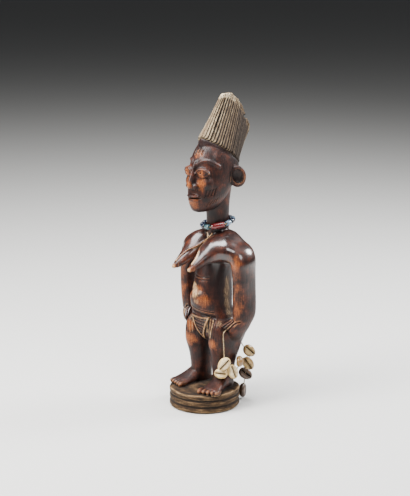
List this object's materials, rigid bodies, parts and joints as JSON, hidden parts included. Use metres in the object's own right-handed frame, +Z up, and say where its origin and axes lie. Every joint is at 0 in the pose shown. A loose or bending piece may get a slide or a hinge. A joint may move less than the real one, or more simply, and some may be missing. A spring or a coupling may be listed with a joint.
{
  "type": "ibeji figure",
  "caption": "Carved wooden standing woman on a round grooved base, with a tall combed crest of hair, a bead necklace and cowries on a string at the left hand",
  "frame": {"origin": "centre of the round base's flat underside", "axes": "+Z up along the figure's height; the figure faces -Y; its left hand is on the +X side"},
  "size_m": [0.0804, 0.0879, 0.2794],
  "materials": {
    "carved_wood": "dark, polished by handling, dusty on the crest and base",
    "red_glass": "opaque gloss",
    "blue_glass": "opaque gloss",
    "cotton": "twisted, soiled",
    "shell": "glossy"
  },
  "bodies": {
    "root": {"figure": "carved_wood", "necklace_string": "cotton", "red_bead": "red_glass", "blue_bead_1": "blue_glass", "blue_bead_2": "blue_glass", "blue_bead_3": "blue_glass", "blue_bead_4": "blue_glass", "blue_bead_5": "blue_glass", "blue_bead_6": "blue_glass", "blue_bead_7": "blue_glass", "blue_bead_8": "blue_glass", "blue_bead_9": "blue_glass", "blue_bead_10": "blue_glass", "blue_bead_11": "blue_glass", "strand_string": "cotton", "cowrie_1": "shell", "cowrie_2": "shell", "cowrie_3": "shell", "cowrie_4": "shell", "cowrie_5": "shell", "cowrie_6": "shell", "tail_string": "cotton", "cowrie_7": "shell", "cowrie_8": "shell"}
  },
  "joints": []
}
